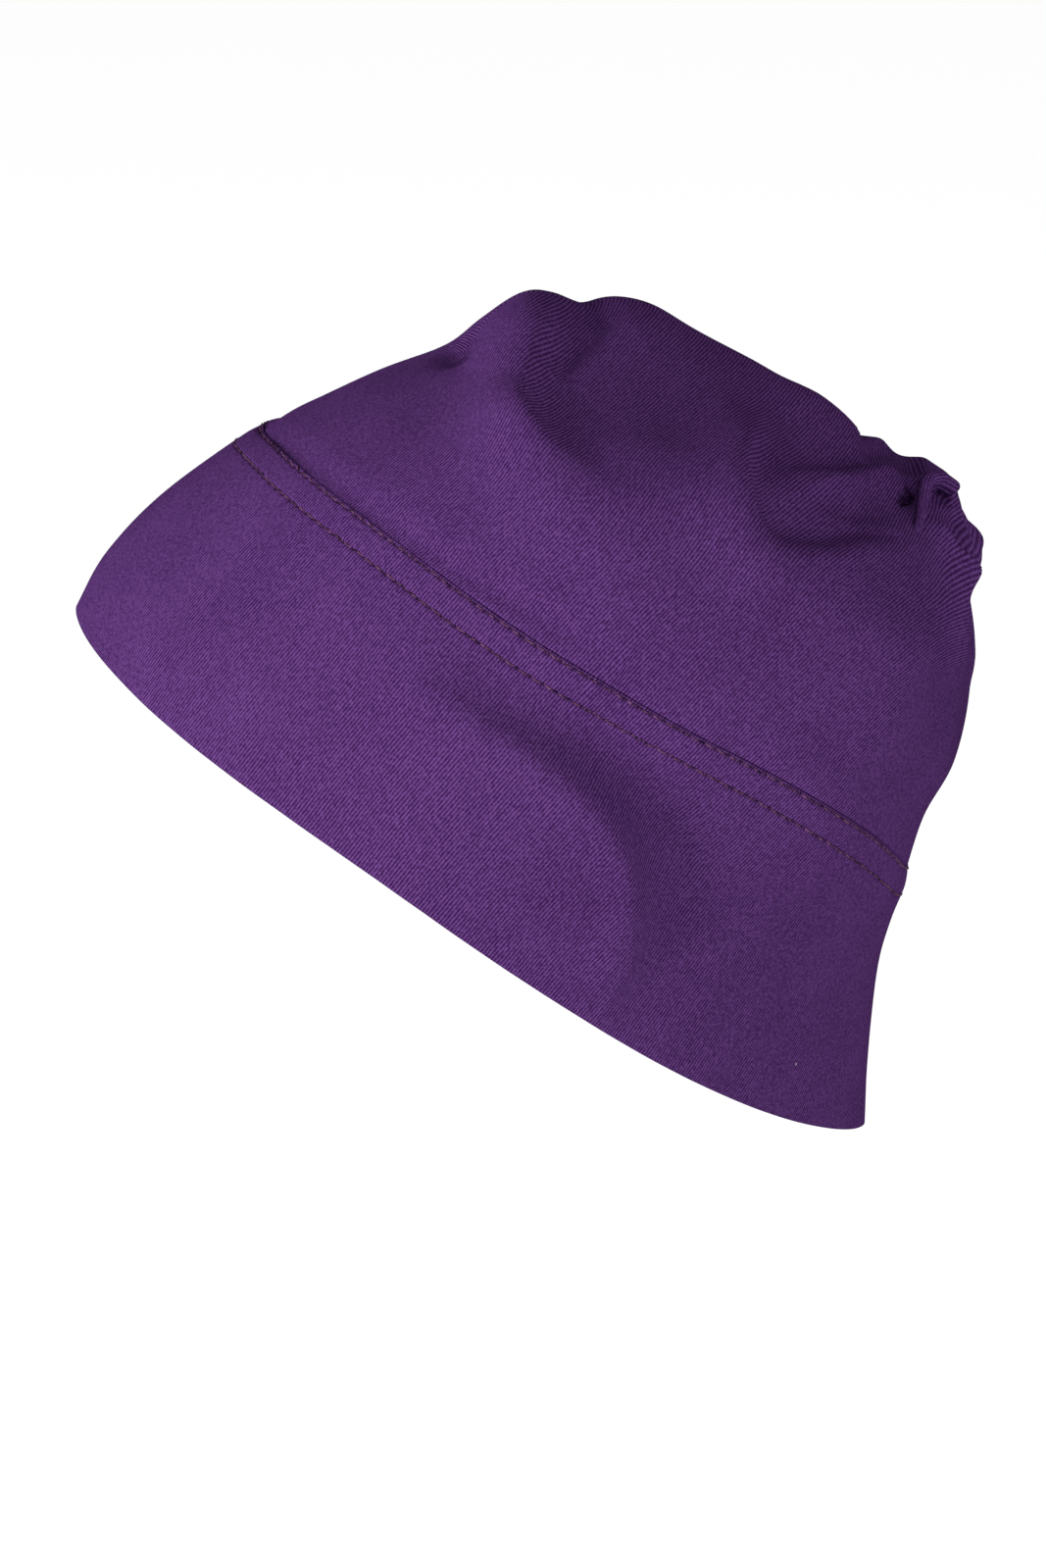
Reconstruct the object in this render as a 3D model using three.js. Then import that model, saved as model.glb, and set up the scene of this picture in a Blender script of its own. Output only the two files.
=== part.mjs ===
// An underscarf cap of cotton jersey in the shape that it takes on a head: a folded band
// round the head, and a slack crown sewn into the band's top edge.
// Millimetres and degrees. +Z is up, -Y is the wearer's front and +X the wearer's left.
// The origin is the middle of the opening that the head goes into.
import * as THREE from "three";

// Driving dimensions
const RIM_SLOPE = 33.6; // the rim runs down from the forehead to the nape at this angle
const BAND_WALL = 1.6; // two layers of jersey, folded at the rim
const RIM_FOLD_DROP = 0.6; // how far the folded edge rounds below the rim
const CROWN_WALL = 1.2;
const LAYER_GAP = 0.3; // between the band and the crown's edge tucked inside it
const SEAM_STEP = 0.5; // how far the crown lies below the band's face past the seam

// Grid of the two shells, closer together at the back, where the small folds are
const STEPS_AROUND = 76;
const CLOSER_AT_BACK = 0.3;
const BAND_STEPS = 7;
const CROWN_STEPS = 26;

// Rows of values with named columns.
const table = (columns, rows) =>
  rows.map((row) => Object.fromEntries(columns.map((column, i) => [column, row[i]])));

// The cap is a loft of closed sections, named from the rim up. q runs along the opening from
// the forehead to the nape, h stands square to the opening, and sideX is half the width.
// The heights are h at the front, half way to the side, at the side, half way to the back and
// at the back. A round of 2 is an ellipse, a lower one blunter and a higher one squarer.
const SECTIONS = table(
  ["name", "frontQ", "backQ", "sideX", "sideQ", "frontRound", "backRound", "heights"],
  [
    ["rim", -104.5, 103.5, 80, -12, 2, 1.7, [0, -1, -1, -3, 0]],
    ["lower band", -105.5, 95, 80.5, -12, 2, 1.75, [14, 14, 14, 13, 14]],
    ["upper band", -102, 85.5, 79.5, -11, 2, 1.9, [33, 35, 35.5, 36, 32]],
    ["seam", -93.5, 78.5, 77.5, -10, 2, 2.5, [54, 59, 60.5, 61.5, 51]],
    ["crown foot", -85.5, 74, 76.5, -9, 2, 2.5, [67, 72, 74, 75, 66]],
    ["crown wall", -77.5, 73, 73.5, -7, 2, 2.3, [80, 84, 87, 87, 80]],
    ["shoulder", -69, 67, 66, -4, 2, 2.15, [93.5, 96, 99.5, 99, 95]],
    ["upper crown", -60.5, 56, 53, -2, 2, 2.1, [109.5, 109, 109.5, 110, 110.5]],
    ["top", -41.5, 42.5, 36, 0, 2, 2, [122.5, 119, 117.5, 120, 127.5]],
    ["near the apex", -20.5, 22, 18, 0, 2, 2, [126.5, 125, 124, 125, 127.5]],
    ["apex", 0, 0, 0, 0, 2, 2, [128, 128, 128, 128, 128]],
  ],
);
const SEAM = SECTIONS.findIndex((row) => row.name === "seam");
const APEX = SECTIONS.length - 1;
const TUCK_START = SEAM - SEAM / BAND_STEPS; // the crown's lower edge, inside the band
const TUCK_END = SEAM + 0.35; // where the crown has come out level with the seam step
const FIRST_OPEN_RING = SEAM + 0.12;
const LAST_RING = APEX - 0.3;

// Folds and dents are drawn on the cap as seen from its side or its back. Each place is given
// across and up that view, and a form fades out where the cloth turns away from the viewer.
const VIEWS = {
  side: { turn: 90, lift: 11 },
  back: { turn: 180, lift: 0 },
};
const FADE_FROM = -0.1;
const FADE_TO = 0.35;

// Each fold is a crest, or a valley where rise is negative, along a smooth path. Its sides
// fall away over leftWidth and rightWidth, left and right of someone walking along the path.
// The wearer's right side has the same fold with its rise times farShare.
const FOLDS = table(
  ["name", "view", "rise", "leftWidth", "rightWidth", "farShare", "path"],
  [
    ["first crest, top", "side", 2.6, 6, 11, 0.7, [[15, 140], [12, 119], [9, 104], [10, 95], [17, 87]]],
    ["first crest, foot", "side", 2.6, 6, 11, 0.7, [[9, 104], [10, 95], [17, 87], [29, 79], [70, 68]]],
    ["second crest", "side", 2.6, 5, 8, 0.5, [[60, 104], [56, 93], [54, 83], [57, 74], [62, 66], [69, 58]]],
    ["fold end", "side", 1.6, 5, 6, 0.5, [[60, 70], [67, 68], [78, 69], [90, 73], [97, 74]]],
    ["ledge", "side", 2.2, 4.5, 4.5, 0.5, [[60, 87], [68, 87.5], [90, 87.5], [98, 86], [110, 83]]],
    ["ear, back edge", "side", 3.2, 7, 18, 1, [[-30, 58], [-8, 43], [26, 17], [32, 3], [29, -13], [20, -36]]],
    ["hollow behind the ear", "side", -1.6, 8, 6, 1, [[14, 40], [26, 30], [36, 20], [42, 8], [42, -6]]],
    ["groove at the nape", "side", -1.3, 5, 5, 0.7, [[30, 14], [46, 4], [60, -5], [74, -9], [90, -9]]],
  ],
);

// Each patch is an oval bump, or a dent where rise is negative, with radii along and across
// its turned axis. A higher edge gives it a flatter middle and a steeper border.
const PATCHES = table(
  ["name", "view", "rise", "radii", "turn", "edge", "farShare", "at"],
  [
    ["ear", "side", 2.6, [26, 17], -42, 2.6, 1, [0, 8]],
    ["hollow of the top", "side", -4.5, [24, 15], -30, 2.6, 0.7, [34, 98]],
    ["hollow over the ledge", "side", -3, [15, 5], -32, 2.4, 0.5, [75, 94]],
    ["pocket", "side", -3, [16, 6.5], 4, 2.8, 0.5, [76, 77]],
    ["dent on the front slope", "side", -2.2, [6, 4], 25, 2, 0, [-8.5, 110.5]],
    ["lobe at the gather", "back", 4.5, [9, 6], 0, 2.2, 0, [9, 68]],
  ],
);

const smooth = (from, to, value) => THREE.MathUtils.smoothstep(value, from, to);
const signedPower = (value, power) => Math.sign(value) * Math.abs(value) ** power;

// The curve through four evenly spaced values, between the second and the third.
function catmullRom(a, b, c, d, t) {
  const slopeB = (c - a) / 2;
  const slopeC = (d - b) / 2;
  const cubic = 2 * b - 2 * c + slopeB + slopeC;
  const square = -3 * b + 3 * c - 2 * slopeB - slopeC;
  return ((cubic * t + square) * t + slopeB) * t + b;
}

// The smooth closed curve whose values from the front round to the back are given, and which
// is the same on both sides.
function aroundFrom(values, angle) {
  const last = values.length - 1;
  const isEnd = (i) => i === 0 || i === last;
  let total = 0;
  for (let wave = 0; wave <= last; wave++) {
    const strength = values.reduce(
      (sum, value, i) => sum + (isEnd(i) ? 0.5 : 1) * value * Math.cos((Math.PI * i * wave) / last),
      0,
    );
    total += ((isEnd(wave) ? 1 : 2) / last) * strength * Math.cos(wave * angle);
  }
  return total;
}

// A row carried straight on from SECTIONS below the rim.
function rowBelow(rim, next) {
  const entries = Object.entries(rim).map(([key, value]) => {
    if (typeof value === "number") return [key, 2 * value - next[key]];
    return [key, Array.isArray(value) ? value.map((h, i) => 2 * h - next.heights[i]) : value];
  });
  return Object.fromEntries(entries);
}

// A row past the apex, down the other side, so that the dome closes without a point.
function rowBeyond(row) {
  return {
    ...row,
    frontQ: row.backQ,
    backQ: row.frontQ,
    sideX: -row.sideX,
    heights: row.heights.toReversed(),
  };
}

const ROWS = [
  rowBelow(SECTIONS[0], SECTIONS[1]),
  ...SECTIONS,
  rowBeyond(SECTIONS[APEX - 1]),
  rowBeyond(SECTIONS[APEX - 2]),
];

// One value of the sections at a height that counts rows up from the rim.
function sectionValue(pick, height) {
  const low = Math.min(Math.max(Math.floor(height), 0), APEX - 1);
  const [a, b, c, d] = ROWS.slice(low, low + 4).map(pick);
  return catmullRom(a, b, c, d, height - low);
}

// A point in the cap's own slanted axes, set into the part's frame.
function place(x, q, h) {
  const slope = THREE.MathUtils.degToRad(RIM_SLOPE);
  return new THREE.Vector3(
    x,
    q * Math.cos(slope) + h * Math.sin(slope),
    h * Math.cos(slope) - q * Math.sin(slope),
  );
}

// The smooth outer face before any fold. The angle runs from the forehead round by the left.
function plainPoint(angle, height) {
  const value = (column) => sectionValue((row) => row[column], height);
  const end = Math.cos(angle) >= 0 ? "front" : "back";
  const power = 2 / value(end + "Round");
  const lengthwise = Math.abs(Math.cos(angle)) ** power;
  const sideways = signedPower(Math.sin(angle), power);
  const q = THREE.MathUtils.lerp(value("sideQ"), value(end + "Q"), lengthwise);
  const h = sectionValue((row) => aroundFrom(row.heights, angle), height);
  return place(value("sideX") * sideways, q, h);
}

// The outward direction of a surface at an angle and height, from points close by.
function outwardOf(surface, angle, height) {
  const turn = 0.01;
  const lift = 0.02;
  const level = Math.min(height, APEX - 1.5 * lift);
  const around = surface(angle + turn, level).sub(surface(angle - turn, level));
  const upward = surface(angle, level + lift).sub(surface(angle, level - lift));
  return around.cross(upward).normalize();
}

// The axes of a view: across to its right, up, and towards whoever looks.
function viewAxes({ turn, lift }) {
  const azimuth = THREE.MathUtils.degToRad(turn);
  const elevation = THREE.MathUtils.degToRad(lift);
  const level = new THREE.Vector3(Math.sin(azimuth), -Math.cos(azimuth), 0);
  const facing = level.multiplyScalar(Math.cos(elevation)).setZ(Math.sin(elevation));
  const across = new THREE.Vector3(Math.cos(azimuth), Math.sin(azimuth), 0);
  return { across, facing, up: facing.clone().cross(across) };
}

const AXES = Object.fromEntries(Object.entries(VIEWS).map(([name, view]) => [name, viewAxes(view)]));

// How far a spot in a view lies from a fold's path, on which side, and how far along it.
function besidePath(curve, spot) {
  let best = { distance: Infinity, left: true, share: 0 };
  for (let i = 0; i + 1 < curve.length; i++) {
    const step = curve[i + 1].clone().sub(curve[i]);
    const to = spot.clone().sub(curve[i]);
    const part = THREE.MathUtils.clamp(to.dot(step) / step.lengthSq(), 0, 1);
    const distance = to.distanceTo(step.clone().multiplyScalar(part));
    if (distance < best.distance) {
      best = { distance, left: step.cross(to) > 0, share: (i + part) / (curve.length - 1) };
    }
  }
  return best;
}

const PATH_STEPS = 14;
const PATH_TAPER = 0.3; // share of a path over which a fold dies out at either end

const curveOf = (path) =>
  new THREE.SplineCurve(path.map(([across, up]) => new THREE.Vector2(across, up))).getPoints(PATH_STEPS);

const foldForm = (fold) => {
  const curve = curveOf(fold.path);
  return (spot) => {
    const { distance, left, share } = besidePath(curve, spot);
    const width = left ? fold.leftWidth : fold.rightWidth;
    const taper = smooth(0, PATH_TAPER, share) * smooth(0, PATH_TAPER, 1 - share);
    return fold.rise * taper * Math.exp(-((distance / width) ** 2));
  };
};

const patchForm = (patch) => {
  const centre = new THREE.Vector2(...patch.at);
  const turn = THREE.MathUtils.degToRad(patch.turn);
  return (spot) => {
    const offset = spot.clone().sub(centre).rotateAround(new THREE.Vector2(), -turn);
    const reach = Math.hypot(offset.x / patch.radii[0], offset.y / patch.radii[1]);
    return patch.rise * Math.exp(-(reach ** patch.edge));
  };
};

const FORMS = [
  ...FOLDS.map((row) => ({ row, riseAt: foldForm(row) })),
  ...PATCHES.map((row) => ({ row, riseAt: patchForm(row) })),
];

// How far the folds and dents of one side push the cloth out at a point of the plain face.
function sideRelief(point, outward, share) {
  let total = 0;
  for (const { row, riseAt } of FORMS) {
    const { across, up, facing } = AXES[row.view];
    const shown = smooth(FADE_FROM, FADE_TO, outward.dot(facing)) * share(row);
    if (shown > 0) total += shown * riseAt(new THREE.Vector2(point.dot(across), point.dot(up)));
  }
  return total;
}

function relief(point, outward) {
  const mirror = new THREE.Vector3(-1, 1, 1);
  const wearersLeft = sideRelief(point, outward, () => 1);
  const wearersRight = sideRelief(
    point.clone().multiply(mirror),
    outward.clone().multiply(mirror),
    (row) => row.farShare,
  );
  return wearersLeft + wearersRight;
}

// The cap's outer face, with its folds.
function facePoint(angle, height) {
  const point = plainPoint(angle, height);
  const outward = outwardOf(plainPoint, angle, height);
  return point.addScaledVector(outward, relief(point, outward));
}

// A point a given depth inside the outer face.
function insetPoint(angle, height, inset) {
  return facePoint(angle, height).addScaledVector(outwardOf(facePoint, angle, height), -inset);
}

const ANGLES = Array.from({ length: STEPS_AROUND }, (_, i) => {
  const even = (i * 2 * Math.PI) / STEPS_AROUND;
  return even + CLOSER_AT_BACK * Math.sin(even);
});

const ring = (height, inset) => ({
  height,
  points: ANGLES.map((angle) => insetPoint(angle, height, inset)),
});

const steps = (from, to, count) =>
  Array.from({ length: count + 1 }, (_, i) => THREE.MathUtils.lerp(from, to, i / count));

// A closed mesh through rings of points. A ring of one point is a pole; where the ends are
// no poles, the last ring joins the first. Going up and going down, the same places are cut
// along the same diagonal, so that two layers lie flat on one another.
function meshFromRings(rings) {
  const positions = [];
  const starts = rings.map(({ points }) => {
    const start = positions.length / 3;
    points.forEach((point) => positions.push(point.x, point.y, point.z));
    return start;
  });
  const isPole = (r) => rings[r].points.length === 1;
  const at = (r, i) => starts[r] + (i % rings[r].points.length);
  const bands = rings.length - (isPole(0) ? 1 : 0);
  const index = [];
  for (let r = 0; r < bands; r++) {
    const next = (r + 1) % rings.length;
    const goesDown = rings[next].height < rings[r].height;
    for (let i = 0; i < STEPS_AROUND; i++) {
      const [a, b, c, d] = [at(r, i), at(r, i + 1), at(next, i), at(next, i + 1)];
      if (!isPole(r)) index.push(a, b, goesDown ? d : c);
      if (!isPole(next)) index.push(goesDown ? a : b, d, c);
    }
  }
  const geometry = new THREE.BufferGeometry();
  geometry.setAttribute("position", new THREE.Float32BufferAttribute(positions, 3));
  geometry.setIndex(index);
  geometry.computeVertexNormals();
  return geometry;
}

// The band: up its outer face, and down its inner face to the fold at the rim.
function bandGeometry() {
  const heights = steps(0, SEAM, BAND_STEPS);
  const outer = heights.map((height) => ring(height, 0));
  const inner = heights.map((height) => ring(height, BAND_WALL)).reverse();
  const drop = place(0, 0, -RIM_FOLD_DROP);
  const fold = ring(0, BAND_WALL / 2);
  fold.points.forEach((point) => point.add(drop));
  return meshFromRings([...outer, ...inner, fold]);
}

// The crown: its edge is tucked inside the band, and comes out level above the seam.
function crownGeometry() {
  const tucked = BAND_WALL + LAYER_GAP;
  const insetAt = (height) => THREE.MathUtils.lerp(tucked, SEAM_STEP, smooth(SEAM, TUCK_END, height));
  const heights = [TUCK_START, SEAM, ...steps(FIRST_OPEN_RING, LAST_RING, CROWN_STEPS)];
  const outer = heights.map((height) => ring(height, insetAt(height)));
  const inner = heights.map((height) => ring(height, insetAt(height) + CROWN_WALL)).reverse();
  const pole = (inset) => ({ height: APEX, points: [insetPoint(0, APEX, inset)] });
  return meshFromRings([pole(SEAM_STEP + CROWN_WALL), ...inner, ...outer, pole(SEAM_STEP)]);
}

const jersey = new THREE.MeshStandardMaterial({ color: 0x5e3c76, roughness: 0.9, metalness: 0 });

function piece(name, geometry) {
  const mesh = new THREE.Mesh(geometry, jersey.clone());
  mesh.name = name;
  return mesh;
}

const cap = new THREE.Group();
cap.add(piece("band", bandGeometry()), piece("crown", crownGeometry()));

export default cap;
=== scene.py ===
"""An underscarf cap of purple cotton jersey: its cloth, its sewing and a plain studio.

A folded band runs round the head, and a slack crown is sewn into the band's top edge.
Forms are worked out in millimetres in the cap's own frame, with +Z up, -Y the wearer's front
and +X the wearer's left, and they become metres where a mesh is made.
"""

import logging
import math
from collections.abc import Callable
from dataclasses import dataclass
from enum import Enum
from functools import cached_property

import bpy
import numpy as np
from mathutils import Matrix


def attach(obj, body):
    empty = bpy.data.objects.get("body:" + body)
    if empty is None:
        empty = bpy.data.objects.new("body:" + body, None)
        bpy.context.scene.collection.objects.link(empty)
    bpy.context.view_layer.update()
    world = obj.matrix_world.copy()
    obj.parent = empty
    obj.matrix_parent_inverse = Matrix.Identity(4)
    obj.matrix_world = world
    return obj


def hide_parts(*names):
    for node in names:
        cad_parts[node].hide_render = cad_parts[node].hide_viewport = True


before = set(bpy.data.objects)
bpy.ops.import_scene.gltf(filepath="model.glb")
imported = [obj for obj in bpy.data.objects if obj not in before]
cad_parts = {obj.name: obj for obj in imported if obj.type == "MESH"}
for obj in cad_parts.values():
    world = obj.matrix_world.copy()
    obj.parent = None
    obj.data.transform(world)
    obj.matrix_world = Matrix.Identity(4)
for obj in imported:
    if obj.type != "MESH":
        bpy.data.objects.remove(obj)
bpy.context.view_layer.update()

log = logging.getLogger("underscarf_cap")
Array = np.ndarray
Material = bpy.types.Material
Piece = bpy.types.Object
Socket = bpy.types.NodeSocket
Colour = tuple[float, float, float]
MM = 0.001
FULL_TURN = 2 * math.pi
# How far apart a face's points are for its directions, in radians and in sections.
SMALL_TURN = 0.01
SMALL_RISE = 0.02
# Mirrors a point or direction to the wearer's other side.
OTHER_SIDE = np.array([-1.0, 1.0, 1.0])


def smooth(start: float, end: float, value: Array) -> Array:
    """Rises softly from 0 at start to 1 at end.

    Args:
        start: Where the rise begins.
        end: Where it is complete.
        value: Where it is asked for.

    Returns:
        The share of the rise, from 0 to 1.
    """
    part = np.clip((value - start) / (end - start), 0.0, 1.0)
    return part * part * (3.0 - 2.0 * part)


def unit(vectors: Array) -> Array:
    """Gives vectors a length of one, along the last axis."""
    return vectors / np.linalg.norm(vectors, axis=-1, keepdims=True)


def catmull_rom(a: Array, b: Array, c: Array, d: Array, part: Array) -> Array:
    """The smooth curve through four evenly spaced values, between the second and third.

    Args:
        a: The value before.
        b: The value at part 0.
        c: The value at part 1.
        d: The value after.
        part: How far along from b to c.

    Returns:
        The value on the curve.
    """
    slope_b = (c - a) / 2
    slope_c = (d - b) / 2
    cubic = 2 * b - 2 * c + slope_b + slope_c
    square = 3 * c - 3 * b - 2 * slope_b - slope_c
    return ((cubic * part + square) * part + slope_b) * part + b


def curve_through(points: Array, samples: int) -> Array:
    """Even samples along the smooth curve through some points.

    Args:
        points: Two rows of numbers or more.
        samples: How many places to give, both ends counted.

    Returns:
        One row of numbers for each place.
    """
    last = len(points) - 1
    along = np.linspace(0, last, samples)
    start = np.minimum(along.astype(int), last - 1)
    a, b, c, d = (points[np.clip(start + step, 0, last)] for step in (-1, 0, 1, 2))
    return catmull_rom(a, b, c, d, (along - start)[:, None])


def lengths_along(points: Array) -> Array:
    """Lengths from the first points to each of the next ones, along the first axis.

    Args:
        points: Points in a list, or lists of points side by side.

    Returns:
        One length for each point, 0 for the first ones.
    """
    steps = np.linalg.norm(np.diff(points, axis=0), axis=-1)
    return np.concatenate([np.zeros((1, *steps.shape[1:])), np.cumsum(steps, axis=0)])


class View(Enum):
    """A direction that the cap is looked at from, as turn and lift in degrees."""

    SIDE = (90.0, 11.0)
    BACK = (180.0, 0.0)
    TOP = (0.0, 90.0)

    @property
    def axes(self) -> Array:
        """Three rows: across to the view's right, up, and towards whoever looks."""
        turn, lift = np.radians(self.value)
        level = math.cos(lift)
        facing = np.array([math.sin(turn) * level, -math.cos(turn) * level, math.sin(lift)])
        across = np.array([math.cos(turn), math.sin(turn), 0.0])
        return np.array([across, np.cross(facing, across), facing])


@dataclass(frozen=True)
class Section:
    """One closed section of the cap, square to the slant of its opening.

    q runs along the opening from the forehead to the nape and h stands square to it. The
    heights are h at the front, half way to the side, at the side, half way to the back and
    at the back. A round of 2 is an ellipse, a lower one blunter and a higher one squarer.
    """

    name: str
    front_q: float
    back_q: float
    side_x: float
    side_q: float
    front_round: float
    back_round: float
    heights: tuple[float, ...]

    @property
    def row(self) -> list[float]:
        """The section's numbers in one list."""
        ends = [self.front_q, self.back_q, self.side_x, self.side_q]
        return [*ends, self.front_round, self.back_round, *self.heights]


@dataclass(frozen=True)
class Fold:
    """A crest, or a valley where rise is negative, along a smooth path seen in a view.

    Its sides fall away over left_width and right_width, left and right of someone who walks
    along the path. The wearer's other side has the same fold, rise times far_share. A lower
    roundness gives the crest a sharper edge.
    """

    name: str
    view: View
    rise: float
    left_width: float
    right_width: float
    far_share: float
    path: tuple[tuple[float, float], ...]
    path_steps: int = 14
    taper: float = 0.3
    roundness: float = 2.0
    reach: float = 4.0

    @cached_property
    def curve(self) -> Array:
        """Points along the smooth path."""
        return curve_through(np.array(self.path, float), self.path_steps + 1)

    def rise_at(self, spots: Array) -> Array:
        """How far the fold pushes the cloth out.

        Args:
            spots: Places in the view, across and up in the last axis.

        Returns:
            Millimetres outward, for each place.
        """
        reach = self.reach * max(self.left_width, self.right_width)
        low = self.curve.min(axis=0) - reach
        high = self.curve.max(axis=0) + reach
        near = np.all((spots > low) & (spots < high), axis=-1)
        rise = np.zeros(spots.shape[:-1])
        rise[near] = self._rise_near(spots[near])
        return rise

    def _rise_near(self, spots: Array) -> Array:
        """How far the fold pushes the cloth out close to its path.

        Args:
            spots: A plain list of places in the view.

        Returns:
            Millimetres outward, for each place.
        """
        starts = self.curve[:-1]
        strides = np.diff(self.curve, axis=0)
        to = spots[:, None, :] - starts
        part = np.clip((to * strides).sum(-1) / (strides**2).sum(-1), 0, 1)
        distance = np.linalg.norm(to - part[..., None] * strides, axis=-1)
        nearest = distance.argmin(axis=1)
        pick = (np.arange(len(spots)), nearest)
        side = strides[nearest, 0] * to[pick][:, 1] - strides[nearest, 1] * to[pick][:, 0]
        share = (nearest + part[pick]) / len(strides)
        width = np.where(side > 0, self.left_width, self.right_width)
        ends = smooth(0, self.taper, share) * smooth(0, self.taper, 1 - share)
        return self.rise * ends * np.exp(-((distance[pick] / width) ** self.roundness))


@dataclass(frozen=True)
class Patch:
    """An oval bump, or a dent where rise is negative, seen in a view.

    Its radii lie along and across an axis turned by turn degrees. A higher edge gives it a
    flatter middle and a steeper border.
    """

    name: str
    view: View
    rise: float
    radii: tuple[float, float]
    turn: float
    edge: float
    far_share: float
    at: tuple[float, float]

    def rise_at(self, spots: Array) -> Array:
        """How far the patch pushes the cloth out.

        Args:
            spots: Places in the view, across and up in the last axis.

        Returns:
            Millimetres outward, for each place.
        """
        turn = math.radians(self.turn)
        offset = spots - np.array(self.at, float)
        along = offset[..., 0] * math.cos(turn) + offset[..., 1] * math.sin(turn)
        beside = offset[..., 1] * math.cos(turn) - offset[..., 0] * math.sin(turn)
        reach = np.hypot(along / self.radii[0], beside / self.radii[1])
        return self.rise * np.exp(-(reach**self.edge))


@dataclass(frozen=True)
class Tug:
    """A round spot where the cloth is drawn along: across, up and towards the viewer."""

    name: str
    view: View
    move: tuple[float, float, float]
    radius: float
    far_share: float
    at: tuple[float, float]


SECTIONS = (
    Section("rim", -104.5, 103.5, 80, -12, 2, 1.7, (0, -1, -0.4, -3.3, 0)),
    Section("lower band", -105.5, 95, 80.5, -12, 2, 1.75, (14, 14, 14, 13, 14)),
    Section("upper band", -102, 85.5, 79.5, -11, 2, 1.9, (33, 35, 35.5, 36, 32)),
    Section("seam", -93.5, 78.5, 77.5, -10, 2, 2.5, (54, 59, 60.5, 61.5, 51)),
    Section("crown foot", -85.5, 74, 76.5, -9, 2, 2.5, (67, 72, 74, 75, 66)),
    Section("crown wall", -77.5, 73, 73.5, -7, 2, 2.3, (80, 84, 87, 87, 80)),
    Section("shoulder", -69, 67, 66, -4, 2, 2.15, (93.5, 96, 99.5, 99, 95)),
    Section("upper crown", -60.5, 56, 53, -2, 2, 2.1, (109.5, 109, 109.5, 110, 110.5)),
    Section("top", -41.5, 42.5, 36, 0, 2, 2, (122.5, 119, 117.5, 120, 127.5)),
    Section("near the apex", -20.5, 22, 18, 0, 2, 2, (126.5, 125, 124, 125, 127.5)),
    Section("apex", 0, 0, 0, 0, 2, 2, (128, 128, 128, 128, 128)),
)
# The heights of the seam and of the apex, counted in sections.
SEAM = 3
APEX = len(SECTIONS) - 1
# Where the rounds and the heights stand in a section's row.
ROUNDS = slice(4, 6)
HEIGHTS = slice(6, None)

SIDE = View.SIDE
BACK = View.BACK
TOP = View.TOP
# The large folds and dents, and after them the fine ones.
MAIN_FORMS = (
    Fold("first crest, top", SIDE, 2.6, 6, 11, 0.7, ((15, 140), (12, 119), (9, 104), (10, 95), (17, 87))),
    Fold("first crest, foot", SIDE, 2.6, 6, 11, 0.7, ((9, 104), (10, 95), (17, 87), (29, 79), (70, 68))),
    Fold(
        "second crest", SIDE, 2.6, 5, 8, 0.5,
        ((60, 104), (56, 93), (54, 83), (57, 74), (62, 66), (69, 58)),
    ),
    Fold("fold end", SIDE, 1.6, 5, 6, 0.5, ((60, 70), (67, 68), (78, 69), (90, 73), (97, 74))),
    Fold("ledge", SIDE, 2.2, 4.5, 4.5, 0.5, ((60, 80), (69, 82.5), (84, 84.8), (96, 84), (108, 81))),
    Fold(
        "ear, back edge", SIDE, 3.2, 7, 18, 1,
        ((-30, 58), (-8, 43), (26, 17), (32, 3), (29, -13), (20, -36)),
    ),
    Fold("hollow behind the ear", SIDE, -1.6, 8, 6, 1, ((14, 40), (26, 30), (36, 20), (42, 8), (42, -6))),
    Fold("groove at the nape", SIDE, -1.3, 5, 5, 0.7, ((30, 14), (46, 4), (60, -5), (74, -9), (90, -9))),
    Patch("ear", SIDE, 2.6, (26, 17), -42, 2.6, 1, (0, 8)),
    Patch("hollow of the top", SIDE, -2.7, (24, 15), -30, 2.6, 0.7, (34, 100)),
    Patch("fuller foot of the hollow", SIDE, 2.6, (18, 7.5), -24, 2.4, 0.7, (43, 85)),
    Patch("hollow over the ledge", SIDE, -3, (15, 5), -32, 2.4, 0.5, (75, 94)),
    Patch("pocket", SIDE, -3, (16, 6.5), 4, 2.8, 0.5, (76, 77)),
    Patch("dent on the front slope", SIDE, -2.6, (6.5, 4), 20, 2, 0, (-4, 114.5)),
    Patch("lobe at the gather", BACK, 4.8, (8.5, 5), 0, 2.4, 0, (9, 65.5)),
    Patch("lower end of the ledge", TOP, -1.6, (12, 4.5), 0, 2.6, 0, (0, 99.5)),
)
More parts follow.
